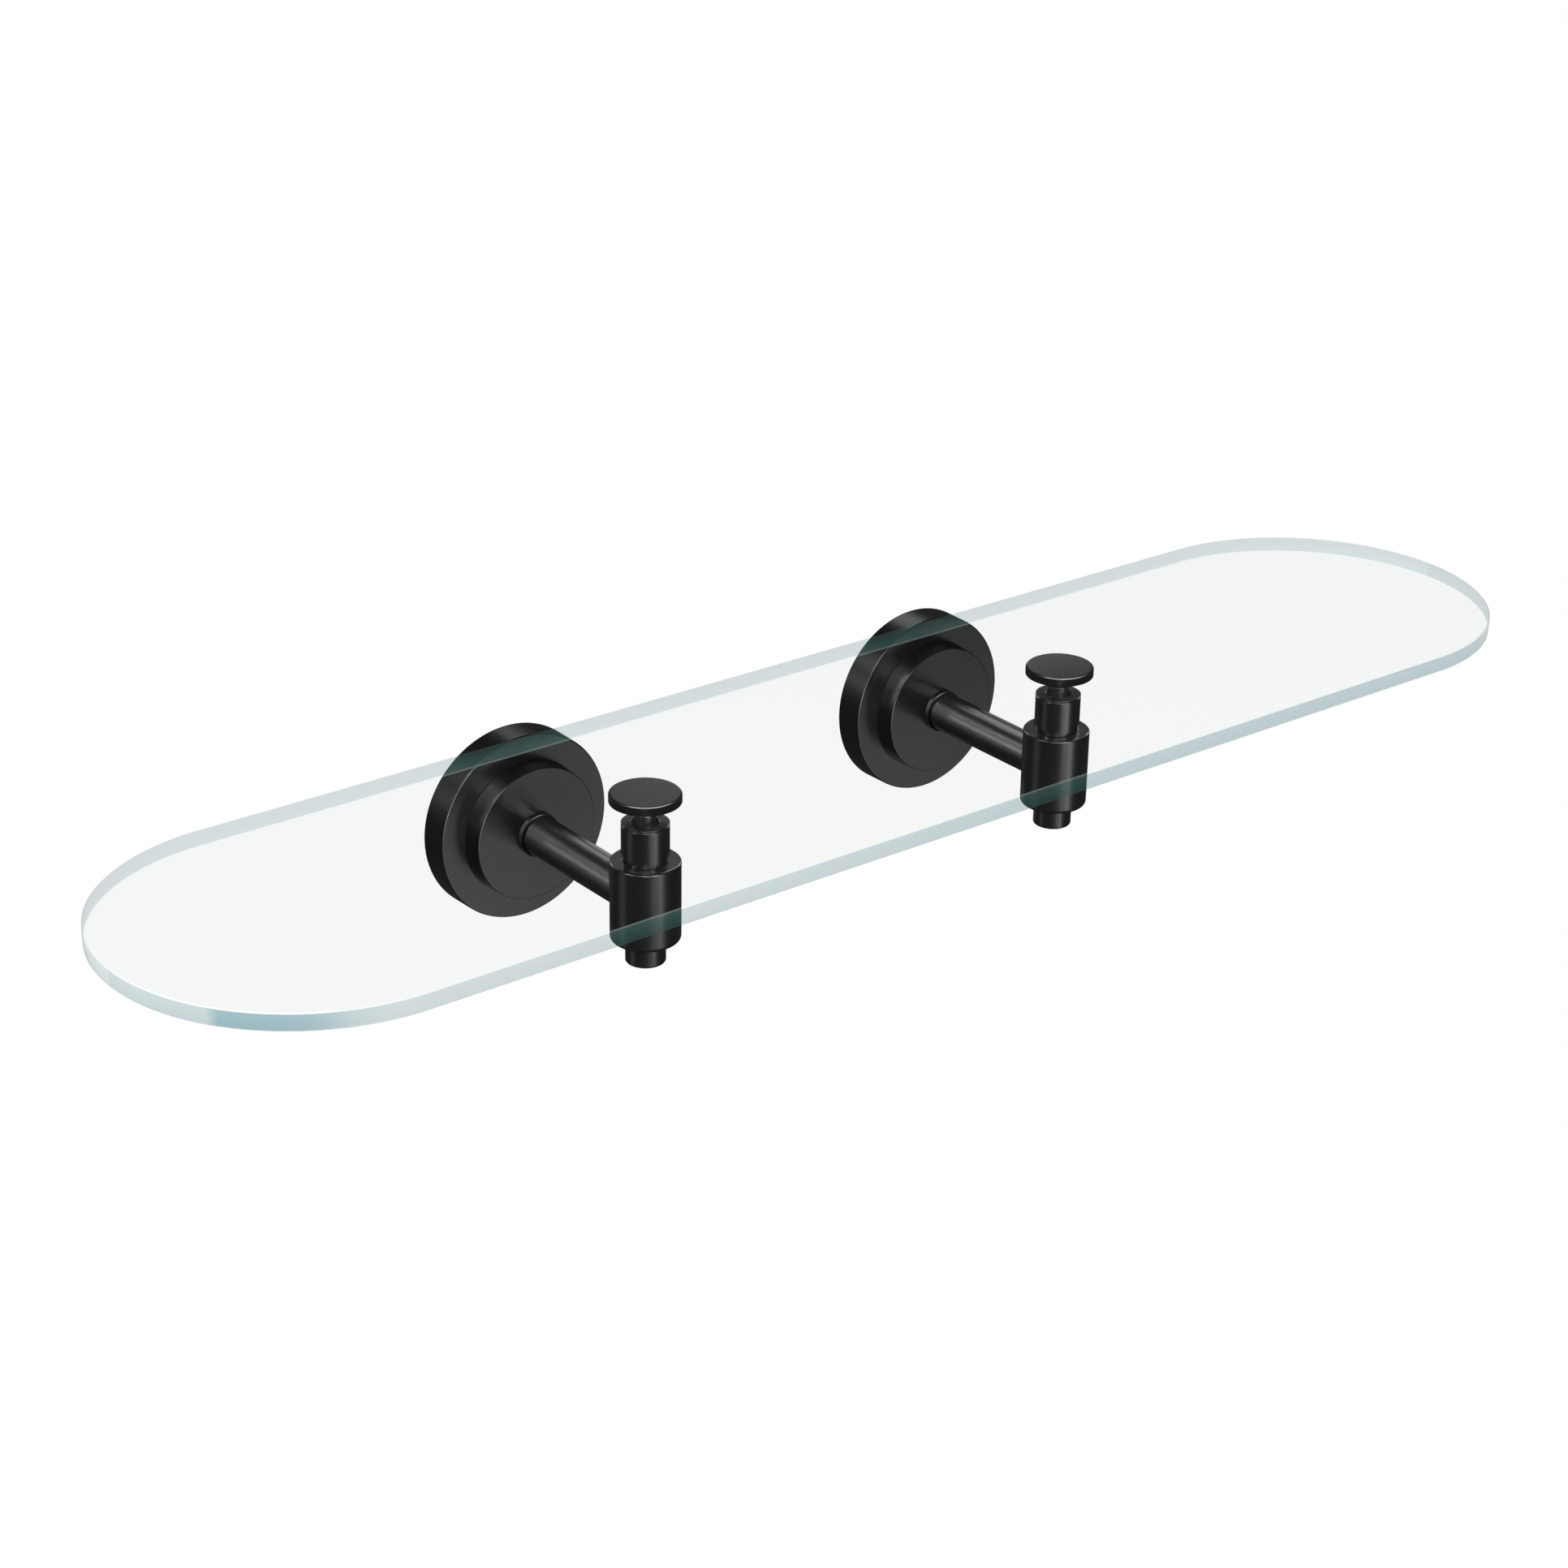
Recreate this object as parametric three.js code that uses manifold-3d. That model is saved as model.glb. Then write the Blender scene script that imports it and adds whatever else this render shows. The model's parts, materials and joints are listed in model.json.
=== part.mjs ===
// A glass wall shelf: one stadium-shaped glass panel held by two black metal brackets.
// Units are millimetres. X runs along the shelf, +Y goes into the wall and Z is up.
// The wall's face is y = 0, both arms' axes are at z = 0, and x = 0 is midway between the brackets.
import * as THREE from 'three';
import { mergeVertices } from 'three/addons/utils/BufferGeometryUtils.js';
import Module from 'manifold-3d';

const wasm = await Module();
wasm.setup();

// Driving dimensions

const cutGap = 0.3; // round a piece that passes through another
const seatGap = 0.1; // between two faces that rest on each other

const glass = {
  length: 560, depth: 133.8, thickness: 6, arris: 0.4, holeRadius: 5.2,
  backGap: 12.5, // from the wall to the glass
  underside: 28.1,
};
const bracketSpacing = 178.6;
const postReach = 79.9; // from the wall to the post's axis

const flange = { backRadius: 33.4, frontRadius: 33.2, depth: 10.6, sideWall: 2.5, frontWall: 2.2, rim: 0.5 };
const disc = { backRadius: 24.2, frontRadius: 23.65, front: 18, rim: 0.4 };
const collar = { radius: 7.7, length: 2, rim: 0.4 };
const arm = { rootRadius: 6.94, endRadius: 6.84, spigotRadius: 3.5, spigotDepth: 7.5, rim: 0.5 };

const body = { radius: 11.68, bottom: -13.84, top: 14.38, topRim: 0.7, bottomRim: 1.5 };
const neck = { radius: 7.93, top: 27.4, rim: 0.4, mouthRadius: 4.6, mouthDepth: 5 };
const foot = { radius: 6.71, bottom: -21.9, rim: 0.7 };
const spigot = { radius: 5, depth: 2.5 }; // on the neck and the foot, in the body
const rod = { radius: 3.4, top: 31.3, bottom: -19.2, rim: 0.5, tappedDepth: 14 };

const seatWasher = { radius: 7.93, holeRadius: 4.6 };
const sleeve = { radius: 4.9, holeRadius: 3.7 };
const knob = {
  radius: 11.9, underside: 35.1, thickness: 3.4, rim: 0.8, dome: 0.15, washerRadius: 8.5,
  skin: 0.9, // of metal over the screw
};
const knobScrew = { radius: 2, bottom: 20.3, point: 0.6 };

const plate = { thickness: 2.5, width: 20, wall: 2.4, tabReach: 8, screwSpacing: 22 };
const wallScrew = { radius: 1.75, headRadius: 3.6, headDepth: 2, length: 20, point: 3 };
const anchor = { radius: 3, holeRadius: 2.05, length: 20, taper: 0.6, taperLength: 4 };
const armScrew = {
  radius: 2.5, end: 24.5, headRadius: 4.2, headThickness: 3, headRim: 1,
  socketRadius: 1.7, socketDepth: 2,
};
const lockWasher = { radius: 5.2, thickness: 1 };
const setScrew = {
  radius: 2, length: 5, point: 1, socketRadius: 1.15, socketDepth: 2,
  sunk: 0.6, // below the flange's side
};

// Helpers

// Facets round a circle, so that every radius is followed to about 0.1 mm.
const facets = (radius) => 4 * Math.ceil(1.6 * Math.sqrt(radius));

// [radius, height] pairs, anticlockwise, spun round the Y axis. A profile that leaves the axis out is a ring.
function spun(profile, sides) {
  const points = profile.map(([radius, height]) => new THREE.Vector2(radius, height));
  if (points[0].x > 0) {
    points.push(points[0].clone());
  }
  return new THREE.LatheGeometry(points, sides);
}

// The same, standing on Z.
function turned(profile, sides) {
  return spun(profile, sides).rotateX(Math.PI / 2);
}

// A geometry as a solid for cutting and joining, without the triangles that collapse on a lathe's axis.
function solidOf(geometry) {
  const bare = geometry.clone();
  bare.deleteAttribute('normal');
  bare.deleteAttribute('uv');
  const merged = mergeVertices(bare, 1e-4);
  const corners = merged.index.array;
  const kept = [];
  for (let i = 0; i < corners.length; i += 3) {
    const [a, b, c] = corners.slice(i, i + 3);
    if (a !== b && b !== c && c !== a) {
      kept.push(a, b, c);
    }
  }
  const vertProperties = new Float32Array(merged.attributes.position.array);
  return new wasm.Manifold(new wasm.Mesh({ numProp: 3, vertProperties, triVerts: new Uint32Array(kept) }));
}

function geometryOf(solid) {
  const mesh = solid.getMesh();
  const geometry = new THREE.BufferGeometry();
  geometry.setAttribute('position', new THREE.BufferAttribute(mesh.vertProperties, 3));
  geometry.setIndex(new THREE.BufferAttribute(mesh.triVerts, 1));
  return geometry;
}

// The first geometry with all the others taken away.
function cut(geometry, ...tools) {
  return geometryOf(tools.reduce((left, tool) => left.subtract(solidOf(tool)), solidOf(geometry)));
}

const rodAlongY = (radius, from, to, sides = facets(radius)) =>
  new THREE.CylinderGeometry(radius, radius, to - from, sides).translate(0, (from + to) / 2, 0);

const rodAlongZ = (radius, from, to, sides = facets(radius)) =>
  rodAlongY(radius, from, to, sides).rotateX(Math.PI / 2);

// Materials

const blackMetal = { color: 0x1b1d1b, roughness: 0.42, metalness: 0.55 };
const clearGlass = { color: 0xdce9ec, roughness: 0.03, metalness: 0, transparent: true, opacity: 0.3 };
const clearPlastic = { color: 0xe6ecec, roughness: 0.25, metalness: 0, transparent: true, opacity: 0.4 };
const blackRubber = { color: 0x1a1a1a, roughness: 0.7, metalness: 0 };
const zincSteel = { color: 0xaeb2b4, roughness: 0.35, metalness: 0.9 };
const greyPlastic = { color: 0x9ca1a3, roughness: 0.55, metalness: 0 };

function piece(name, geometry, finish) {
  const mesh = new THREE.Mesh(geometry, new THREE.MeshStandardMaterial(finish));
  mesh.name = name;
  return mesh;
}

// The glass panel: straight sides, half-round ends, ground arrises and a hole for each post

function glassPanel() {
  const endRadius = glass.depth / 2;
  const endCentre = glass.length / 2 - endRadius;
  const middle = -glass.backGap - endRadius;
  const outline = new THREE.Shape();
  outline.absarc(endCentre, middle, endRadius - glass.arris, -Math.PI / 2, Math.PI / 2);
  outline.absarc(-endCentre, middle, endRadius - glass.arris, Math.PI / 2, 1.5 * Math.PI);
  for (const x of [-bracketSpacing / 2, bracketSpacing / 2]) {
    const hole = new THREE.Path();
    hole.absarc(x, -postReach, glass.holeRadius + glass.arris, 0, 2 * Math.PI, true);
    outline.holes.push(hole);
  }
  const panel = new THREE.ExtrudeGeometry(outline, {
    depth: glass.thickness - 2 * glass.arris,
    bevelThickness: glass.arris,
    bevelSize: glass.arris,
    bevelSegments: 1,
    curveSegments: 16,
  });
  return panel.translate(0, 0, glass.underside + glass.arris);
}

// The wall fixing: a strap with both ends bent forward, two screws and their plugs

const cavity = { radius: flange.backRadius - flange.sideWall, depth: flange.depth - flange.frontWall };
const strapRadius = cavity.radius - cutGap;
const setScrewReach = (cavity.depth + plate.thickness) / 2; // from the wall to the set screw's axis

function wallPlate() {
  const pan = spun([
    [0, -plate.thickness],
    [strapRadius - plate.wall, -plate.thickness],
    [strapRadius - plate.wall, -plate.tabReach],
    [strapRadius, -plate.tabReach],
    [strapRadius, 0],
    [0, 0],
  ], facets(strapRadius));
  const slab = new THREE.BoxGeometry(plate.width, 3 * plate.tabReach, 3 * strapRadius);
  const countersinks = [-1, 1].map((end) => spun([
    [0, -plate.thickness - 1],
    [wallScrew.headRadius + cutGap, -plate.thickness - 1],
    [wallScrew.headRadius + cutGap, -plate.thickness + cutGap],
    [wallScrew.radius + cutGap, wallScrew.headDepth - plate.thickness + cutGap],
    [wallScrew.radius + cutGap, 1],
    [0, 1],
  ], facets(wallScrew.headRadius)).translate(0, 0, end * plate.screwSpacing / 2));
  const setScrewHole = rodAlongZ(setScrew.radius + cutGap, -strapRadius - 1, -strapRadius + plate.wall + 1)
    .translate(0, -setScrewReach, 0);
  const strap = geometryOf(solidOf(pan).intersect(solidOf(slab)));
  return cut(strap, ...countersinks, setScrewHole);
}

function wallScrewShape() {
  const face = -plate.thickness;
  return spun([
    [0, face],
    [wallScrew.headRadius, face],
    [wallScrew.radius, face + wallScrew.headDepth],
    [wallScrew.radius, wallScrew.length - wallScrew.point],
    [0, wallScrew.length],
  ], facets(wallScrew.headRadius));
}

function anchorShape() {
  const start = cutGap;
  return spun([
    [anchor.holeRadius, start],
    [anchor.radius, start],
    [anchor.radius, start + anchor.length - anchor.taperLength],
    [anchor.radius - anchor.taper, start + anchor.length],
    [anchor.holeRadius, start + anchor.length],
  ], facets(anchor.radius));
}

// The flange: a cup over the wall fixing, and the disc that stands on its front

function flangeShape() {
  const throughHole = armScrew.radius + cutGap;
  const cup = spun([
    [throughHole, -flange.depth],
    [flange.frontRadius - flange.rim, -flange.depth],
    [flange.frontRadius, -flange.depth + flange.rim],
    [flange.backRadius, 0],
    [cavity.radius, 0],
    [cavity.radius, -cavity.depth],
    [throughHole, -cavity.depth],
  ], facets(flange.backRadius));
  const setScrewHole = rodAlongZ(setScrew.radius + cutGap, -flange.backRadius - 1, -cavity.radius + 1)
    .translate(0, -setScrewReach, 0);
  return cut(cup, setScrewHole);
}

function discShape() {
  const throughHole = armScrew.radius + cutGap;
  return spun([
    [throughHole, -disc.front],
    [disc.frontRadius - disc.rim, -disc.front],
    [disc.frontRadius, -disc.front + disc.rim],
    [disc.backRadius, -flange.depth - seatGap],
    [throughHole, -flange.depth - seatGap],
  ], facets(disc.backRadius));
}

function setScrewShape() {
  const outer = -flange.backRadius + setScrew.sunk;
  const screw = turned([
    [0, outer],
    [setScrew.radius, outer],
    [setScrew.radius, outer + setScrew.length - setScrew.point],
    [setScrew.radius - setScrew.point, outer + setScrew.length],
    [0, outer + setScrew.length],
  ], facets(setScrew.radius));
  return cut(screw, rodAlongZ(setScrew.socketRadius, outer - 1, outer + setScrew.socketDepth, 6));
}

// The arm: a ring at its root, the round bar, and the screw that pulls both against the disc from behind

const collarFront = -disc.front - seatGap - collar.length;
const armRoot = collarFront - seatGap;

function collarShape() {
  const back = -disc.front - seatGap;
  return spun([
    [armScrew.radius + cutGap, collarFront],
    [collar.radius - collar.rim, collarFront],
    [collar.radius, collarFront + collar.rim],
    [collar.radius, back],
    [armScrew.radius + cutGap, back],
  ], facets(collar.radius));
}

function armShape() {
  const spigotEnd = -postReach + body.radius - arm.spigotDepth;
  const tappedEnd = -armScrew.end - cutGap;
  const bar = spun([
    [0, -postReach],
    [arm.endRadius, -postReach],
    [arm.rootRadius, armRoot - arm.rim],
    [arm.rootRadius - arm.rim, armRoot],
    [armScrew.radius + cutGap, armRoot],
    [armScrew.radius + cutGap, tappedEnd],
    [0, tappedEnd],
  ], facets(arm.rootRadius));
  const saddle = rodAlongZ(body.radius + cutGap, -arm.rootRadius - 1, arm.rootRadius + 1, facets(body.radius))
    .translate(0, -postReach, 0);
  const tongue = rodAlongY(arm.spigotRadius, spigotEnd, -postReach + body.radius + 3);
  return geometryOf(solidOf(bar).subtract(solidOf(saddle)).add(solidOf(tongue)));
}

function armScrewShape() {
  const bearing = -cavity.depth + seatGap + lockWasher.thickness + seatGap;
  const top = bearing + armScrew.headThickness;
  const screw = spun([
    [0, -armScrew.end],
    [armScrew.radius, -armScrew.end],
    [armScrew.radius, bearing],
    [armScrew.headRadius, bearing],
    [armScrew.headRadius, top - armScrew.headRim],
    [armScrew.headRadius - armScrew.headRim, top],
    [0, top],
  ], facets(armScrew.headRadius));
  return cut(screw, rodAlongY(armScrew.socketRadius, top - armScrew.socketDepth, top + 1, 6));
}

function lockWasherShape() {
  const front = -cavity.depth + seatGap;
  return spun([
    [armScrew.radius + cutGap, front],
    [lockWasher.radius, front],
    [lockWasher.radius, front + lockWasher.thickness],
    [armScrew.radius + cutGap, front + lockWasher.thickness],
  ], facets(lockWasher.radius));
}

// The post: foot, body and neck in a stack, tied by a rod that reaches up into the glass

const boreRadius = rod.radius + cutGap;

function bodyShape() {
  const recess = spigot.radius + cutGap;
  const recessDepth = spigot.depth + cutGap;
  const barrel = turned([
    [boreRadius, body.bottom + recessDepth],
    [recess, body.bottom + recessDepth],
    [recess, body.bottom],
    [body.radius - body.bottomRim, body.bottom],
    [body.radius, body.bottom + body.bottomRim],
    [body.radius, body.top - body.topRim],
    [body.radius - body.topRim, body.top],
    [recess, body.top],
    [recess, body.top - recessDepth],
    [boreRadius, body.top - recessDepth],
  ], facets(body.radius));
  return cut(barrel, rodAlongY(arm.spigotRadius + cutGap, 0, body.radius + 1));
}

function neckShape() {
  return turned([
    [boreRadius, body.top - spigot.depth],
    [spigot.radius, body.top - spigot.depth],
    [spigot.radius, body.top + seatGap],
    [neck.radius, body.top + seatGap],
    [neck.radius, neck.top - neck.rim],
    [neck.radius - neck.rim, neck.top],
    [neck.mouthRadius, neck.top],
    [neck.mouthRadius, neck.top - neck.mouthDepth],
    [boreRadius, neck.top - neck.mouthDepth - 1],
  ], facets(neck.radius));
}

function footShape() {
  return turned([
    [0, foot.bottom],
    [foot.radius - foot.rim, foot.bottom],
    [foot.radius, foot.bottom + foot.rim],
    [foot.radius, body.bottom - seatGap],
    [spigot.radius, body.bottom - seatGap],
    [spigot.radius, body.bottom + spigot.depth],
    [boreRadius, body.bottom + spigot.depth],
    [boreRadius, rod.bottom - cutGap],
    [0, rod.bottom - cutGap],
  ], facets(foot.radius));
}

function rodShape() {
  const tappedRadius = knobScrew.radius + cutGap;
  return turned([
    [0, rod.bottom],
    [rod.radius, rod.bottom],
    [rod.radius, rod.top - rod.rim],
    [rod.radius - rod.rim, rod.top],
    [tappedRadius, rod.top],
    [tappedRadius, rod.top - rod.tappedDepth],
    [0, rod.top - rod.tappedDepth],
  ], facets(rod.radius));
}

// What touches the glass: a washer under it, a sleeve in its hole and a clear washer under the knob

function ringShape(outerRadius, holeRadius, bottom, top) {
  return turned([
    [holeRadius, bottom],
    [outerRadius, bottom],
    [outerRadius, top],
    [holeRadius, top],
  ], facets(outerRadius));
}

const glassTop = glass.underside + glass.thickness;

// The knob: a flat head on a screw that runs down into the rod

function knobHeadShape() {
  const top = knob.underside + knob.thickness;
  return turned([
    [0, top - knob.skin],
    [knobScrew.radius + cutGap, top - knob.skin],
    [knobScrew.radius + cutGap, knob.underside],
    [knob.radius - cutGap, knob.underside],
    [knob.radius, knob.underside + cutGap],
    [knob.radius, top - knob.dome - knob.rim],
    [knob.radius - knob.rim, top - knob.dome],
    [0, top],
  ], facets(knob.radius));
}

function knobScrewShape() {
  const top = knob.underside + knob.thickness - knob.skin - cutGap;
  return turned([
    [0, knobScrew.bottom],
    [knobScrew.radius - knobScrew.point, knobScrew.bottom],
    [knobScrew.radius, knobScrew.bottom + knobScrew.point],
    [knobScrew.radius, top],
    [0, top],
  ], facets(knobScrew.radius));
}

// One bracket, drawn on x = 0 with the wall's face at y = 0

function bracket(side) {
  const group = new THREE.Group();
  const add = (name, geometry, finish, parent = group) => {
    parent.add(piece(`${side}_${name}`, geometry, finish));
  };

  add('wall_plate', wallPlate(), zincSteel);
  for (const [end, place] of [[1, 'upper'], [-1, 'lower']]) {
    const fixing = new THREE.Group();
    fixing.position.z = end * plate.screwSpacing / 2;
    add(`wall_screw_${place}`, wallScrewShape(), zincSteel, fixing);
    add(`wall_anchor_${place}`, anchorShape(), greyPlastic, fixing);
    group.add(fixing);
  }

  add('flange', flangeShape(), blackMetal);
  add('flange_disc', discShape(), blackMetal);
  add('flange_set_screw', setScrewShape().translate(0, -setScrewReach, 0), zincSteel);
  add('arm_collar', collarShape(), blackMetal);
  add('arm', armShape(), blackMetal);
  add('arm_screw', armScrewShape(), zincSteel);
  add('arm_lock_washer', lockWasherShape(), zincSteel);

  const post = new THREE.Group();
  post.position.y = -postReach;
  add('post_body', bodyShape(), blackMetal, post);
  add('post_neck', neckShape(), blackMetal, post);
  add('post_foot', footShape(), blackMetal, post);
  add('post_rod', rodShape(), blackMetal, post);
  add('seat_washer', ringShape(seatWasher.radius, seatWasher.holeRadius, neck.top + seatGap,
    glass.underside - seatGap), blackRubber, post);
  add('glass_sleeve', ringShape(sleeve.radius, sleeve.holeRadius, glass.underside, glassTop - seatGap),
    clearPlastic, post);
  add('knob_washer', ringShape(knob.washerRadius, knobScrew.radius + cutGap, glassTop + seatGap,
    knob.underside - seatGap), clearPlastic, post);
  add('knob_head', knobHeadShape(), blackMetal, post);
  add('knob_screw', knobScrewShape(), blackMetal, post);
  group.add(post);
  return group;
}

const shelf = new THREE.Group();
shelf.add(piece('glass_shelf', glassPanel(), clearGlass));
for (const [direction, side] of [[-1, 'left'], [1, 'right']]) {
  const half = bracket(side);
  half.position.x = direction * bracketSpacing / 2;
  shelf.add(half);
}

export default shelf;
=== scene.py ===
import json
import math
import bpy
import numpy as np
from mathutils import Matrix, Vector

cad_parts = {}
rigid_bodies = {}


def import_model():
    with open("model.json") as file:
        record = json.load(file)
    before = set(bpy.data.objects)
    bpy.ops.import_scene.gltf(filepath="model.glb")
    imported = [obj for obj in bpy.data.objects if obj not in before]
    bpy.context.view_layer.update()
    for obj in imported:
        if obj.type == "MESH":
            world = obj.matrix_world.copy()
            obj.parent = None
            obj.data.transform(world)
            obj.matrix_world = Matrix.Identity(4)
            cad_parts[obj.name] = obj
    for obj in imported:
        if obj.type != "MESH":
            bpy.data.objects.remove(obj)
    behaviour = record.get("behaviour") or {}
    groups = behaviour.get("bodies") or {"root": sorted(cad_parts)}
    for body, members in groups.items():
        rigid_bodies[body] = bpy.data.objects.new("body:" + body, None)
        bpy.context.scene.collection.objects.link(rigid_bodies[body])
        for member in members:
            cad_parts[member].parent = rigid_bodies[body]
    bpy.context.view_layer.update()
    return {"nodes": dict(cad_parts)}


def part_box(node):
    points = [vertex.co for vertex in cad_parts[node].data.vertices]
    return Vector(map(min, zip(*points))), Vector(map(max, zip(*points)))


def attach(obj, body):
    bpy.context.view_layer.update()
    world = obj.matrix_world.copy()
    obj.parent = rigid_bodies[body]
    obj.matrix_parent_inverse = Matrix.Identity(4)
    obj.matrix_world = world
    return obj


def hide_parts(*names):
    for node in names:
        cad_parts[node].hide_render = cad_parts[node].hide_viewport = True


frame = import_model()
print("frame loaded:", len(frame["nodes"]), "nodes")

mm = 0.001
sides = ("left", "right")
pinEdge, fineEdge, mildEdge = 0.01, 0.1, 0.15  # small rounds, in millimetres, on edges that look sharp
noTurn = 1e-6  # a corner that turns less than this is straight
unmoved = 1e-7  # in metres: a wall that moves less than this keeps its normals


def roundedProfile(corners, closed, arcSteps=8):
    # corners are (radius, height, round) in millimetres, anticlockwise round the metal.
    # Each corner becomes an arc tangent to its two sides, with its centre at corner + bisector * round /
    # sin(half angle). The arc's normals point from the centre outwards, or inwards on a hollow corner.
    points, normals = [], []
    count = len(corners)
    for i, (radius, height, rounding) in enumerate(corners):
        here = np.array([radius, height], float)
        if not closed and i in (0, count - 1):
            # an open profile starts and ends on the axis, where its normal is along the axis
            points.append(here)
            normals.append(np.array([0.0, -1.0 if i == 0 else 1.0]))
            continue
        back = np.array(corners[i - 1][:2], float) - here
        ahead = np.array(corners[(i + 1) % count][:2], float) - here
        back /= np.linalg.norm(back)
        ahead /= np.linalg.norm(ahead)
        turn = back[1] * ahead[0] - back[0] * ahead[1]
        if abs(turn) < noTurn:
            # a corner on a straight run is a single point
            points.append(here)
            normals.append(np.array([ahead[1], -ahead[0]]))
            continue
        half = math.acos(max(-1.0, min(1.0, float(back @ ahead)))) / 2
        bisector = (back + ahead) / np.linalg.norm(back + ahead)
        centre = here + bisector * rounding / math.sin(half)
        reach = rounding / math.tan(half)
        first, last = here + back * reach - centre, here + ahead * reach - centre
        start = math.atan2(first[1], first[0])
        sweep = (math.atan2(last[1], last[0]) - start + math.pi) % (2 * math.pi) - math.pi
        angles = start + sweep * np.linspace(0, 1, arcSteps + 1)
        ring = np.stack([np.cos(angles), np.sin(angles)], axis=1)
        points.extend(centre + rounding * ring)
        normals.extend(ring if turn > 0 else -ring)
    return np.array(points) * mm, np.array(normals)


def buildMesh(name, points, quads, triangles=None, normals=None):
    # whole arrays go into the mesh at once; a normal of no length is left for Blender to work out
    mesh = bpy.data.meshes.new(name)
    corners = [quads.ravel()]
    sizes = [np.full(len(quads), 4)]
    if triangles is not None:
        corners.append(triangles.ravel())
        sizes.append(np.full(len(triangles), 3))
    corners = np.concatenate(corners).astype(np.int32)
    sizes = np.concatenate(sizes)
    starts = np.concatenate([[0], np.cumsum(sizes)[:-1]]).astype(np.int32)
    mesh.vertices.add(len(points))
    mesh.vertices.foreach_set("co", points.astype(np.float32).ravel())
    mesh.loops.add(len(corners))
    mesh.loops.foreach_set("vertex_index", corners)
    mesh.polygons.add(len(starts))
    mesh.polygons.foreach_set("loop_start", starts)
    mesh.update(calc_edges=True)
    mesh.validate()
    mesh.shade_smooth()
    if normals is not None:
        mesh.normals_split_custom_set_from_vertices(normals.astype(np.float32))
    piece = bpy.data.objects.new(name, mesh)
    bpy.context.scene.collection.objects.link(piece)
    return piece


def gridFaces(rows, columns, wrapRows):
    # quads between neighbouring rows and columns; the columns always close round the axis
    row = np.arange(rows if wrapRows else rows - 1)
    column = np.arange(columns)
    r, c = np.meshgrid(row, column, indexing="ij")
    nextRow, nextColumn = (r + 1) % rows, (c + 1) % columns
    here, above = r * columns, nextRow * columns
    corners = [here + c, here + nextColumn, above + nextColumn, above + c]
    return np.stack(corners, axis=-1).reshape(-1, 4)


def standUp(local, centre, along):
    # along "up": the axis is +Z. along "out": the axis runs from the wall into the room, -Y.
    x, y, z = local[..., 0], local[..., 1], local[..., 2]
    turned = np.stack([x, y, z] if along == "up" else [x, -z, y], axis=-1)
    return turned + np.asarray(centre, float)


def turnedPiece(name, corners, centre, along="up", closed=True, steps=96, reshape=None, arcSteps=8,
                ownNormals=True, angle=None):
    # A profile spun round its axis: (r cos t, r sin t, h), with t round the circle and (r, h) on the profile.
    # An open profile starts and ends on the axis, where a fan of triangles closes it.
    # reshape may move the grid's radius, height and angle, as functions of all three.
    profile, profileNormals = roundedProfile(corners, closed, arcSteps)
    angle = np.linspace(0, 2 * np.pi, steps, endpoint=False) if angle is None else angle
    steps = len(angle)
    inner = profile if closed else profile[1:-1]
    innerNormals = profileNormals if closed else profileNormals[1:-1]
    radius, turn = np.meshgrid(inner[:, 0], angle, indexing="ij")
    height = np.repeat(inner[:, 1:2], steps, axis=1)
    facing = np.ones_like(radius)
    if reshape:
        before = radius
        radius, height, turn = reshape(radius, height, turn)
        facing = (np.abs(radius - before) < unmoved).astype(float)
    local = np.stack([radius * np.cos(turn), radius * np.sin(turn), height], axis=-1)
    outward = np.repeat(innerNormals[:, 0:1], steps, axis=1)
    upward = np.repeat(innerNormals[:, 1:2], steps, axis=1)
    normal = np.stack([outward * np.cos(turn), outward * np.sin(turn), upward], axis=-1) * facing[..., None]
    rows = len(inner)
    points, normals = local.reshape(-1, 3), normal.reshape(-1, 3)
    quads, triangles = gridFaces(rows, steps, closed), None
    if not closed:
        poles = np.array([[0, 0, profile[0, 1]], [0, 0, profile[-1, 1]]])
        points = np.concatenate([points, poles])
        normals = np.concatenate([normals, [[0, 0, -1], [0, 0, 1]]])
        column = np.arange(steps)
        following = (column + 1) % steps
        top = (rows - 1) * steps
        lowFan = np.stack([following, column, np.full(steps, rows * steps)], axis=1)
        highFan = np.stack([top + column, top + following, np.full(steps, rows * steps + 1)], axis=1)
        triangles = np.concatenate([lowFan, highFan])
    placed = standUp(points, centre, along)
    normals = standUp(normals, (0, 0, 0), along) if ownNormals else None
    return buildMesh(name, placed, quads, triangles, normals)


class Value:
    # One output of a node. Sums, products and so on of these add the Math nodes that work them out.
    def __init__(self, finish, socket):
        self.finish, self.socket = finish, socket

    def maths(self, operation, first, second):
        return self.finish.node("ShaderNodeMath", {"operation": operation}, [first, second])

    def __add__(self, other):
        return self.maths("ADD", self, other)

    def __sub__(self, other):
        return self.maths("SUBTRACT", self, other)

    def __rsub__(self, other):
        return self.maths("SUBTRACT", other, self)

    def __mul__(self, other):
        return self.maths("MULTIPLY", self, other)

    def __truediv__(self, other):
        return self.maths("DIVIDE", self, other)

    def __gt__(self, other):
        return self.maths("GREATER_THAN", self, other)

    __radd__, __rmul__ = __add__, __mul__


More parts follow.
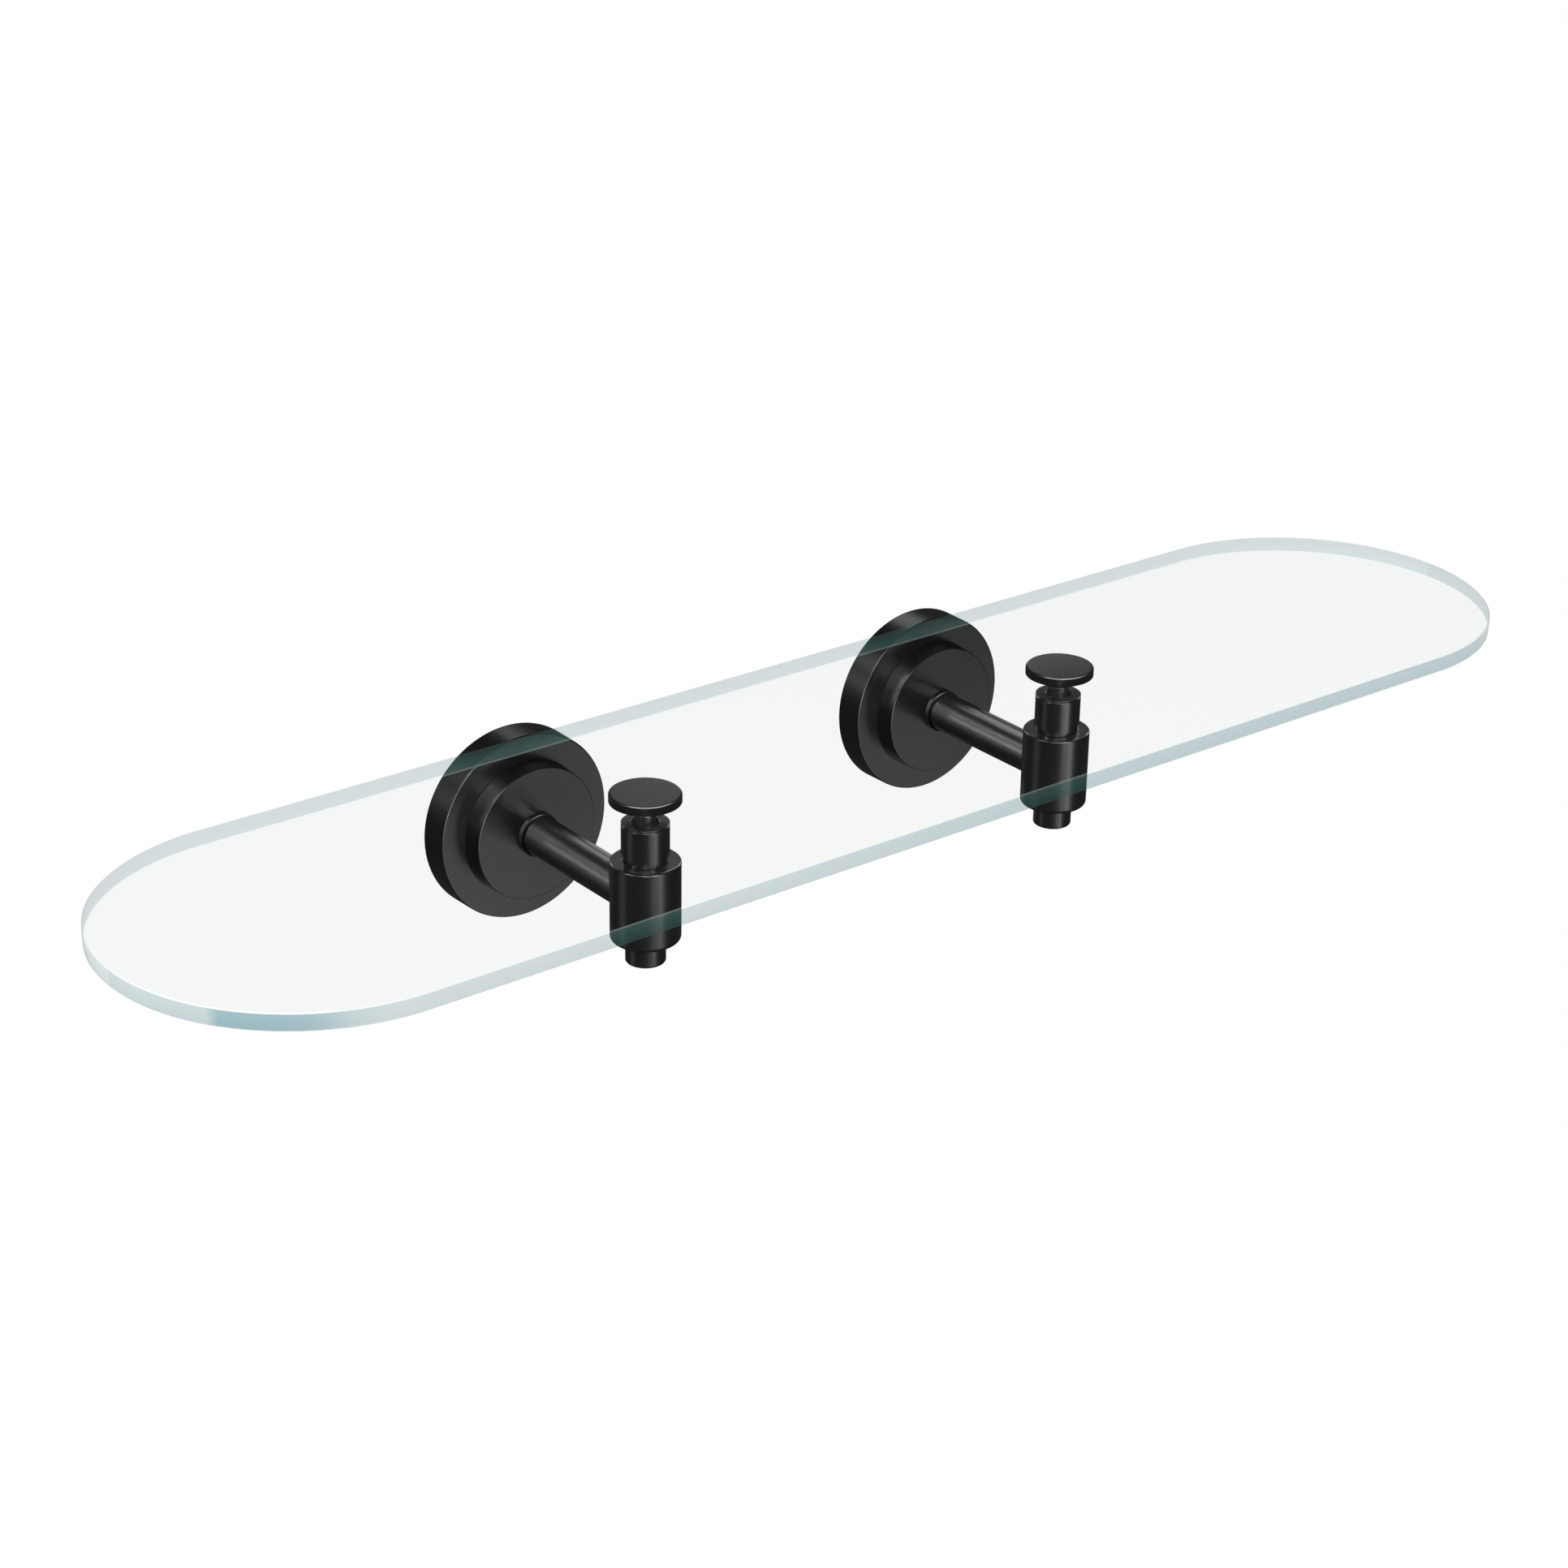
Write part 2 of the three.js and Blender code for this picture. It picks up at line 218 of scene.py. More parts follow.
class Finish:
    # A material being built, with node() as the one way to add a node.
    def __init__(self, name):
        self.material = bpy.data.materials.new(name)
        self.material.use_nodes = True
        self.tree = self.material.node_tree
        self.tree.nodes.clear()

    def node(self, kind, settings, sockets, output=0):
        # sockets is either a list, in the node's own order, or a dict by name
        made = self.tree.nodes.new(kind)
        for key, value in settings.items():
            if key == "stops":
                self.setStops(made.color_ramp.elements, value)
            else:
                setattr(made, key, value)
        pairs = sockets.items() if isinstance(sockets, dict) else enumerate(sockets)
        for key, value in pairs:
            if isinstance(value, Value):
                self.tree.links.new(value.socket, made.inputs[key])
            elif value is not None:
                made.inputs[key].default_value = value
        return None if output is None else Value(self, made.outputs[output])

    def place(self):
        return self.node("ShaderNodeTexCoord", {}, {}, "Object")

    def along(self, axis):
        return self.node("ShaderNodeSeparateXYZ", {}, [self.place()], axis)

    def noise(self, size, detail=2.0):
        # size is the width of one blotch, in metres
        sockets = {"Vector": self.place(), "Scale": 1 / size, "Detail": detail}
        return self.node("ShaderNodeTexNoise", {}, sockets)

    def mixed(self, share, first, second):
        return self.node("ShaderNodeMix", {"data_type": "RGBA"}, {0: share, 6: first, 7: second}, 2)

    def blend(self, share, first, second):
        return self.node("ShaderNodeMixShader", {}, [share, first, second])

    def bump(self, height, depth, strength):
        return self.node("ShaderNodeBump", {}, {"Height": height, "Distance": depth, "Strength": strength})

    def setStops(self, elements, stops):
        # stops are (place, grey level), and a new ramp already has its two ends
        elements[0].position, elements[1].position = stops[0][0], stops[-1][0]
        for where, level in stops[1:-1]:
            elements.new(where)
        for element, (where, level) in zip(elements, stops):
            element.color = (level, level, level, 1)

    def coat(self, **sockets):
        named = {key.replace("_", " "): value for key, value in sockets.items()}
        return self.node("ShaderNodeBsdfPrincipled", {}, named)

    def done(self, shader):
        self.node("ShaderNodeOutputMaterial", {}, {"Surface": shader}, None)
        return self.material


# Sizes and depths of grain, blotches and streaks are in metres. A value that ends in Rough is how far that
# pattern changes the roughness.
blackCoat = {"colour": (0.0030, 0.0034, 0.0030, 1), "thick": (0.0042, 0.0047, 0.0042, 1), "roughness": 0.285,
             "ior": 1.6, "grain": 0.0003, "grainDetail": 3.0, "grainDepth": 0.0000015, "grainRough": 0.03,
             "blotch": 0.012, "blotchRough": 0.04, "bump": 0.5}
rubber = {"colour": (0.005, 0.0053, 0.005, 1), "worn": (0.008, 0.008, 0.008, 1), "roughness": 0.29,
          "ior": 1.6, "grain": 0.0006, "grainDepth": 0.000002, "grainRough": 0.06, "bump": 0.5}
zinc = {"colour": (0.50, 0.52, 0.54, 1), "bright": (0.68, 0.70, 0.70, 1), "roughness": 0.28, "streak": 0.004,
        "streakDetail": 3.0, "grain": 0.0005, "grainDepth": 0.00001, "grainRough": 0.2, "bump": 0.4}
nylon = {"colour": (0.42, 0.44, 0.45, 1), "pale": (0.52, 0.54, 0.55, 1), "roughness": 0.45, "grain": 0.001,
         "grainDepth": 0.00002, "grainRough": 0.15, "bump": 0.4}


def satinBlack():
    # fine powder grain in the coat, and slow changes of sheen where it lies thicker
    look, finish = blackCoat, Finish("satinBlack")
    grain = finish.noise(look["grain"], look["grainDetail"])
    blotch = finish.noise(look["blotch"])
    roughness = look["roughness"] + (blotch - 0.5) * look["blotchRough"] + (grain - 0.5) * look["grainRough"]
    return finish.done(finish.coat(Base_Color=finish.mixed(blotch, look["colour"], look["thick"]),
                                   Roughness=roughness, IOR=look["ior"],
                                   Normal=finish.bump(grain, look["grainDepth"], look["bump"])))


def blackRubber():
    # a matt grain that is a little paler where it's worn
    look, finish = rubber, Finish("blackRubber")
    grain = finish.noise(look["grain"])
    return finish.done(finish.coat(Base_Color=finish.mixed(grain, look["colour"], look["worn"]),
                                   Roughness=look["roughness"] + grain * look["grainRough"], IOR=look["ior"],
                                   Normal=finish.bump(grain, look["grainDepth"], look["bump"])))


def zincPlate():
    # bright streaks in the plating, over a fine grain
    look, finish = zinc, Finish("zincPlate")
    streak, grain = finish.noise(look["streak"], look["streakDetail"]), finish.noise(look["grain"])
    return finish.done(finish.coat(Base_Color=finish.mixed(streak, look["colour"], look["bright"]),
                                   Metallic=1.0, Roughness=look["roughness"] + grain * look["grainRough"],
                                   Normal=finish.bump(grain, look["grainDepth"], look["bump"])))


def greyNylon():
    # the mottled grey of a moulded plug
    look, finish = nylon, Finish("greyNylon")
    grain = finish.noise(look["grain"])
    return finish.done(finish.coat(Base_Color=finish.mixed(grain, look["colour"], look["pale"]),
                                   Roughness=look["roughness"] + grain * look["grainRough"],
                                   Normal=finish.bump(grain, look["grainDepth"], look["bump"])))


# pale and back are the edge's own tint; deep is the colour that the front edge reflects from one side,
# painted into the edge
edgeTintAndReflection = {"pale": (0.715, 0.75, 0.76, 1), "deep": (0.355, 0.49, 0.55, 1), "back": (0.765, 0.80, 0.81, 1)}
# how much painted reflection the front edge shows, from the left end of the glass (0) to the right (1)
paintedEdgeReflection = [(0, 0.05), (0.008, 0.14), (0.021, 0.20), (0.0235, 0.95), (0.043, 0.95), (0.060, 0.84),
             (0.078, 0.27), (0.098, 0.0), (0.143, 0.02), (0.32, 0.08), (0.5, 0.30), (0.72, 0.36),
             (0.90, 0.44), (0.925, 0.34), (0.94, 0.0)]
# Each clear skin: the tint that light takes on through it, its body colour and the share of light that it
# sends back in that colour, its gloss's roughness and index, and the share of the gloss that shows.
clearLooks = {
    "clearPlastic": {"tint": (0.98, 0.985, 0.985, 1), "body": (0.5, 0.55, 0.55, 1), "share": 0.01,
                     "roughness": 0.15, "gloss": 1.05, "shineShare": 1.0},
    "glassFace": {"tint": (0.966, 0.972, 0.972, 1), "body": (0.6, 0.7, 0.7, 1), "share": 0.0,
                  "roughness": 0.02, "gloss": 1.15, "shineShare": 0.6},
    "glassEdge": {"tint": None, "body": (0.28, 0.62, 0.60, 1), "share": 0.11,
                  "roughness": 0.06, "gloss": 1.15, "shineShare": 0.2},
    "glassArris": {"tint": (0.95, 0.97, 0.97, 1), "body": (0.85, 0.9, 0.9, 1), "share": 0.12,
                   "roughness": 0.2, "gloss": 1.3, "shineShare": 1.0},
}
clearBody = {"cloud": 0.02, "paler": 0.9, "roughness": 0.4}


def plainClear(finish, tint):
    return finish.node("ShaderNodeBsdfTransparent", {}, [tint])


def edgeClearAndReflection(finish):
    # the front edge runs from its pale tint into patches of painted reflection along its length, and the back
    # edge is even
    low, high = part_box("glass_shelf")
    length, middle = high.x - low.x, (low.y + high.y) / 2
    # depth here is the share of painted reflection at each place along the front edge
    depth = finish.node("ShaderNodeValToRGB", {"stops": paintedEdgeReflection}, [finish.along("X") / length + 0.5])
    front = finish.blend(depth, plainClear(finish, edgeTintAndReflection["pale"]), plainClear(finish, edgeTintAndReflection["deep"]))
    return finish.blend(finish.along("Y") > middle, front, plainClear(finish, edgeTintAndReflection["back"]))


def clearSkin(name):
    # A clear skin lets light straight through tinted, and sends a small share back as its body colour.
    # Its gloss follows Fresnel's law on the side that faces the air.
    look, finish = clearLooks[name], Finish(name)
    cloud = finish.noise(clearBody["cloud"])
    paler = tuple(clearBody["paler"] * part for part in look["body"][:3]) + (1,)
    solid = finish.coat(Base_Color=finish.mixed(cloud, look["body"], paler), Roughness=clearBody["roughness"],
                        Specular_IOR_Level=0.0)
    white = (1, 1, 1, 1)
    shine = finish.node("ShaderNodeBsdfAnisotropic", {}, {"Color": white, "Roughness": look["roughness"]})
    inside = finish.node("ShaderNodeNewGeometry", {}, {}, "Backfacing")
    facing = finish.node("ShaderNodeFresnel", {}, {"IOR": look["gloss"]})
    fresnel = facing * (1 - inside) * look["shineShare"]
    clear = plainClear(finish, look["tint"]) if look["tint"] else edgeClearAndReflection(finish)
    return finish.done(finish.blend(fresnel, finish.blend(look["share"], clear, solid), shine))


finishes = {"black_metal": satinBlack(), "black_rubber": blackRubber(), "zinc_steel": zincPlate(),
            "grey_plastic": greyNylon(), "clear_plastic": clearSkin("clearPlastic")}
glassFinishes = [clearSkin(name) for name in ("glassFace", "glassEdge", "glassArris")]
print("finishes made")


def settle(piece, node, slotName, body="frame"):
    # a piece stands for its CAD node, rides on its body, and has the finish that its slot is named after
    piece.data.materials.append(finishes[slotName])
    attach(piece, body)
    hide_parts(node)
    return piece


def roundBox(node, along):
    # a round node's axis, radius and two ends, in millimetres, from its box
    low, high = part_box(node)
    low, high = np.array(low) / mm, np.array(high) / mm
    radius = (high[0] - low[0]) / 2
    middle = (low + high) / 2
    if along == "up":
        return (middle[0] * mm, middle[1] * mm, 0), radius, low[2], high[2]
    return (middle[0] * mm, 0, middle[2] * mm), radius, -high[1], -low[1]


flangeShape = {"taper": 0.2, "sideWall": 2.5, "frontWall": 2.2, "hole": 2.8, "rim": 0.55, "backRim": 0.2,
               "hollowRim": 1.0, "screwHole": 2.3, "screwHoleDepth": 2.2, "screwHoleRim": 0.15, "steps": 192}
# The grid's lines round the set screw's hole, as shares of its radius, from the middle out and on both sides.
# Between the places in holeDrop the wall drops in. The patch of these lines is holePatch wide to each side.
holeLines = np.array([0.17, 0.37, 0.61, 0.91, 1.0, 1.09, 1.3, 1.56])
holeLines = np.concatenate([-holeLines[::-1], [0], holeLines])
holeDrop, holePatch = (0.92, 0.99, 1.08), 1.6
holeSpacing = 1.05  # the flange's own lines start this much further out than the last of these
discShape = {"taper": 0.55, "hole": 2.8, "rim": 0.4, "backRim": 0.15, "steps": 160}
collarShape = {"hole": 2.8, "rim": 0.45}
armShape = {"taper": 0.1, "hole": 2.8, "holeDepth": 4.0, "rim": 0.5, "tipRim": 0.05, "straight": 3}


def makeFlange(side):
    node = f"{side}_flange"
    centre, radius, back, front = roundBox(node, "out")
    shape = flangeShape
    inner, floor = radius - shape["sideWall"], front - shape["frontWall"]
    corners = [
        (shape["hole"], floor, fineEdge),
        (inner, floor, shape["hollowRim"]),
        (inner, back, mildEdge),
        (radius, back, shape["backRim"]),
    ]
    low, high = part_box(f"{side}_flange_set_screw")
    screwAt, bore = -(low.y + high.y) / 2 / mm, shape["screwHole"]
    lines = screwAt + bore * holeLines
    corners += [(radius - shape["taper"] * (h - back) / (front - back), h, 0) for h in lines]
    corners += [(radius - shape["taper"], front, shape["rim"]), (shape["hole"], front, fineEdge)]
    around = np.linspace(0, 2 * np.pi, shape["steps"], endpoint=False)
    below = 1.5 * np.pi
    clear = around[np.abs(around - below) * radius > holeSpacing * bore * holeLines[-1]]
    angle = np.sort(np.concatenate([clear, below + bore * holeLines / radius]))

    def setScrewHole(r, h, t):
        # (u, v) is measured from the hole's middle, and s = max(|u|, |v|). The squares s = constant are drawn
        # in to circles by the factor s / sqrt(u u + v v), and the wall drops inside the circle s = bore.
        u, v = (t - below) * radius, h / mm - screwAt
        s = np.maximum(np.abs(u), np.abs(v))
        atMiddle = s < 1e-9
        drawnIn = s / np.where(atMiddle, 1, np.hypot(u, v))
        fade = np.clip((s / bore - 1) / (holeLines[-1] - 1), 0, 1)
        factor = np.where(atMiddle, 1, drawnIn * (1 - fade) + fade)
        inPatch = (r > (inner + shape["hollowRim"]) * mm) & (s < holePatch * bore)
        drop = np.interp(s / bore, holeDrop, [shape["screwHoleDepth"], shape["screwHoleRim"], 0])
        return (np.where(inPatch, r - drop * mm, r), np.where(inPatch, (screwAt + v * factor) * mm, h),
                np.where(inPatch, below + u * factor / radius, t))

    flange = turnedPiece(f"{side}Flange", corners, centre, "out", reshape=setScrewHole, angle=angle)
    settle(flange, node, "black_metal")
    flange.visible_shadow = False  # lamps behind the wall reach the disc and the arm


def makeDisc(side):
    node = f"{side}_flange_disc"
    centre, radius, back, front = roundBox(node, "out")
    shape = discShape
    corners = [
        (shape["hole"], back, fineEdge),
        (radius, back, shape["backRim"]),
        (radius - shape["taper"], front, shape["rim"]),
        (shape["hole"], front, fineEdge),
    ]
    disc = turnedPiece(f"{side}Disc", corners, centre, "out", steps=shape["steps"])
    settle(disc, node, "black_metal")
    disc.visible_shadow = False  # the flange's front is lit past the disc


def makeCollar(side):
    node = f"{side}_arm_collar"
    centre, radius, back, front = roundBox(node, "out")
    corners = [
        (collarShape["hole"], back, fineEdge),
        (radius, back, fineEdge),
        (radius, front, collarShape["rim"]),
        (collarShape["hole"], front, fineEdge),
    ]
    settle(turnedPiece(f"{side}ArmCollar", corners, centre, "out"), node, "black_metal")


def makeArm(side):
    node = f"{side}_arm"
    centre, radius, root, _ = roundBox(node, "out")
    postCentre, postRadius, _, _ = roundBox(f"{side}_post_body", "up")
    reach = -postCentre[1] / mm
    tip = reach - postRadius
    shape = armShape
    corners = [
        (0, root + shape["holeDepth"], 0),
        (shape["hole"], root + shape["holeDepth"], fineEdge),
        (shape["hole"], root, fineEdge),
        (radius, root, shape["rim"]),
        (radius - shape["taper"], tip, shape["tipRim"]),
        (0, tip, 0),
    ]
    bend = root + shape["straight"]  # from here on the arm's rows turn into the post's curve

    def saddle(r, h, t):
        # rows near the tip follow the post: height = reach - sqrt(post radius^2 - x^2), with x = r cos t
        follow = np.clip((h / mm - bend) / (tip - bend), 0, 1)
        lift = postRadius - np.sqrt(postRadius ** 2 - (r / mm * np.cos(t)) ** 2)
        return r, h + follow * lift * mm, t

    arm = turnedPiece(f"{side}Arm", corners, centre, "out", closed=False, reshape=saddle)
    settle(arm, node, "black_metal")


bodyShape = {"bore": 3.7, "recess": 5.3, "recessDepth": 2.8, "topRim": 0.7, "bottomRim": 1.5, "steps": 128}
neckShape = {"bore": 3.7, "spigot": 5.0, "mouth": 4.6, "mouthDepth": 5.0, "mouthRim": 0.2, "slope": 1,
             "rim": 0.45}
footShape = {"bore": 3.7, "spigot": 5.0, "rim": 0.7, "floor": 2.05}
rodShape = {"tapped": 2.3, "tappedDepth": 14, "tappedRim": 0.2, "rim": 0.5, "footRim": 0.4, "steps": 64}
seatGap = 0.1  # between the body and the shoulders of the neck and the foot


def makePost(side):
    centre, radius, bottom, top = roundBox(f"{side}_post_body", "up")
    shape = bodyShape
    corners = [
        (shape["bore"], bottom + shape["recessDepth"], fineEdge),
        (shape["recess"], bottom + shape["recessDepth"], fineEdge),
        (shape["recess"], bottom, mildEdge),
        (radius, bottom, shape["bottomRim"]),
        (radius, top, shape["topRim"]),
        (shape["recess"], top, mildEdge),
        (shape["recess"], top - shape["recessDepth"], fineEdge),
        (shape["bore"], top - shape["recessDepth"], fineEdge),
    ]
    body = turnedPiece(f"{side}PostBody", corners, centre, steps=shape["steps"])
    settle(body, f"{side}_post_body", "black_metal")

    node = f"{side}_post_neck"
    _, radius, neckBottom, neckTop = roundBox(node, "up")
    shape, seat = neckShape, top + seatGap
    mouthFloor = neckTop - shape["mouthDepth"]
    corners = [
        (shape["bore"], neckBottom, fineEdge),
        (shape["spigot"], neckBottom, fineEdge),
        (shape["spigot"], seat, fineEdge),
        (radius, seat, fineEdge),
        (radius, neckTop, shape["rim"]),
        (shape["mouth"], neckTop, shape["mouthRim"]),
        (shape["mouth"], mouthFloor, fineEdge),
        (shape["bore"], mouthFloor - shape["slope"], fineEdge),
    ]
    neck = settle(turnedPiece(f"{side}PostNeck", corners, centre), node, "black_metal")
    neck.visible_shadow = False  # the body's top is lit past the neck

    node = f"{side}_post_foot"
    _, radius, footBottom, footTop = roundBox(node, "up")
    shape, seat = footShape, bottom - seatGap
    corners = [
        (0, footBottom, 0),
        (radius, footBottom, shape["rim"]),
        (radius, seat, mildEdge),
        (shape["spigot"], seat, fineEdge),
        (shape["spigot"], footTop, fineEdge),
        (shape["bore"], footTop, fineEdge),
        (shape["bore"], footBottom + shape["floor"], fineEdge),
        (0, footBottom + shape["floor"], 0),
    ]
    settle(turnedPiece(f"{side}PostFoot", corners, centre, closed=False), node, "black_metal")

    node = f"{side}_post_rod"
    _, radius, rodBottom, rodTop = roundBox(node, "up")
    shape = rodShape
    corners = [
        (0, rodBottom, 0),
        (radius, rodBottom, shape["footRim"]),
        (radius, rodTop, shape["rim"]),
        (shape["tapped"], rodTop, shape["tappedRim"]),
        (shape["tapped"], rodTop - shape["tappedDepth"], fineEdge),
        (0, rodTop - shape["tappedDepth"], 0),
    ]
    rod = turnedPiece(f"{side}PostRod", corners, centre, closed=False, steps=shape["steps"])
    settle(rod, node, "black_metal")


seatShape = {"hole": 4.6, "rim": 0.2}
sleeveShape = {"hole": 3.7, "rim": 0.2}
knobWasherShape = {"hole": 2.3, "rim": 0.25}
headShape = {"rim": 0.8, "underRim": 0.3, "dome": 0.15, "hole": 2.3, "holeRim": 0.2, "skin": 0.9,
             "steps": 128}
# rows is how many rows of the grid one pitch has, and the thread fades in from start over the length fade
screwShape = {"pitch": 0.7, "depth": 0.35, "chamfer": 0.6, "rows": 6, "start": 0.4, "fade": 0.8, "steps": 48}


def makeRing(node, name, shape, slotName, body="frame"):
    # a flat ring: a washer, or a tall one for the sleeve
    centre, radius, bottom, top = roundBox(node, "up")
    corners = [
        (shape["hole"], bottom, shape["rim"]),
        (radius, bottom, shape["rim"]),
        (radius, top, shape["rim"]),
        (shape["hole"], top, shape["rim"]),
    ]
    settle(turnedPiece(name, corners, centre, arcSteps=5), node, slotName, body)


def makeKnob(side):
    node, body = f"{side}_knob_head", f"{side}_knob"
    centre, radius, bottom, top = roundBox(node, "up")
    shape = headShape
    corners = [
        (0, top - shape["skin"], 0),
        (shape["hole"], top - shape["skin"], fineEdge),
        (shape["hole"], bottom, shape["holeRim"]),
        (radius, bottom, shape["underRim"]),
        (radius, top - shape["dome"], shape["rim"]),
        (0, top, 0),
    ]
    head = turnedPiece(f"{side}KnobHead", corners, centre, closed=False, steps=shape["steps"])
    settle(head, node, "black_metal", body)
    head.visible_shadow = False  # the seat washer is lit under the knob

    node = f"{side}_knob_screw"
    centre, radius, bottom, top = roundBox(node, "up")
    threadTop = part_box(f"{side}_knob_washer")[0].z / mm
    shape = screwShape
    chamfer, rowGap = shape["chamfer"], shape["pitch"] / shape["rows"]
    corners = [(0, bottom, 0), (radius - chamfer, bottom, fineEdge), (radius, bottom + chamfer, fineEdge)]
    corners += [(radius, h, 0) for h in np.arange(bottom + 1.5 * chamfer, threadTop, rowGap)]
    corners += [(radius, top, fineEdge), (0, top, 0)]

    def thread(r, h, t):
        # radius falls by depth * |2 frac(h / pitch - t / turn) - 1|, fading out at the thread's two ends
        phase = (h / mm / shape["pitch"] - t / (2 * np.pi)) % 1
        ends = (np.clip((h / mm - bottom - shape["start"]) / shape["fade"], 0, 1)
                * np.clip((threadTop - h / mm) / shape["fade"], 0, 1))
        onSide = r > 0.9 * (radius - chamfer) * mm
        return r - shape["depth"] * mm * np.abs(2 * phase - 1) * ends * onSide, h, t

    screw = turnedPiece(f"{side}KnobScrew", corners, centre, closed=False, steps=shape["steps"],
                        reshape=thread, arcSteps=1, ownNormals=False)
    settle(screw, node, "black_metal", body)


wallScrewShape = {"headDepth": 2.0, "headRim": 0.1, "neckRim": 0.2, "shank": 1.75, "thread": 0.4,
                  "pitch": 1.6, "rows": 8, "sharpness": 3, "plainNeck": 3, "point": 3.0, "steps": 40}
# the plug narrows by nose over noseLength at its back, and has no ribs on plainBack and plainFront
plugShape = {"hole": 2.05, "rib": 0.25, "ribPitch": 2.2, "slot": 0.3, "slotNarrowing": 4, "rim": 0.2,
             "nose": 1, "noseLength": 4, "firstRow": 0.5, "rowGap": 0.4, "plainBack": 1, "plainFront": 3,
             "steps": 64}


def makeWallFixing(side, place):
    node = f"{side}_wall_screw_{place}"
    centre, radius, back, front = roundBox(node, "out")
    shape = wallScrewShape
    neck = front - shape["headDepth"]
    threadEnd = neck - shape["plainNeck"]
    rowsEnd = threadEnd + 1  # the rows go a little past the thread, so that it ends in a step
    heights = np.arange(back + shape["point"], rowsEnd, shape["pitch"] / shape["rows"])
    corners = [(0, back, 0), (shape["shank"], heights[0], pinEdge)]
    corners += [(shape["shank"], h, 0) for h in heights[1:]]
    corners += [(shape["shank"], neck, shape["neckRim"]), (radius, front, shape["headRim"]), (0, front, 0)]

    def thread(r, h, t):
        # a sharp helical ridge: radius falls by thread * (1 - ridge), with
        # ridge = max(0, 1 - sharpness * |frac(h / pitch - t / turn) - 1/2|)
        phase = (h / mm / shape["pitch"] - t / (2 * np.pi)) % 1
        ridge = np.clip(1 - shape["sharpness"] * np.abs(phase - 0.5), 0, 1)
        drop = np.where(h / mm < threadEnd, shape["thread"] * mm * (1 - ridge), 0)
        return r - drop * np.clip(r / (shape["shank"] * mm), 0, 1), h, t

    screw = turnedPiece(f"{side}WallScrew_{place}", corners, centre, "out", closed=False,
                        steps=shape["steps"], reshape=thread, arcSteps=1, ownNormals=False)
    settle(screw, node, "zinc_steel")

    node = f"{side}_wall_anchor_{place}"
    centre, radius, back, front = roundBox(node, "out")
    shape = plugShape
    nose, rowGap = radius - shape["nose"], shape["rowGap"]
    corners = [(shape["hole"], back, fineEdge), (nose, back, shape["rim"])]
    corners += [(nose + min(shape["nose"], (h - back) / shape["noseLength"]), h, pinEdge)
                for h in np.arange(back + shape["firstRow"], front - rowGap, rowGap)]
    corners += [(radius, front, shape["rim"]), (shape["hole"], front, fineEdge)]

    def ribs(r, h, t):
        # saw-tooth ribs along the plug, and four long slots pressed into its outside
        outside = r > (shape["hole"] + shape["rim"]) * mm
        tooth = ((h / mm - back) / shape["ribPitch"]) % 1
        inMiddle = (h / mm > back + shape["plainBack"]) & (h / mm < front - shape["plainFront"])
        slots = np.clip(1 - shape["slotNarrowing"] * np.abs(np.sin(2 * t)), 0, 1)
        drop = shape["rib"] * (1 - tooth) + shape["slot"] * slots
        return r - np.where(outside & inMiddle, drop * mm, 0), h, t

    plug = turnedPiece(f"{side}WallPlug_{place}", corners, centre, "out", steps=shape["steps"], reshape=ribs,
                       arcSteps=2, ownNormals=False)
    settle(plug, node, "grey_plastic")


glassShape = {"arris": 0.4, "endSteps": 96, "sideSteps": 24, "cutSteps": 16, "holeRadius": 5.2}
weldPlaces = 7  # points that agree to this many decimal places, in metres, become one


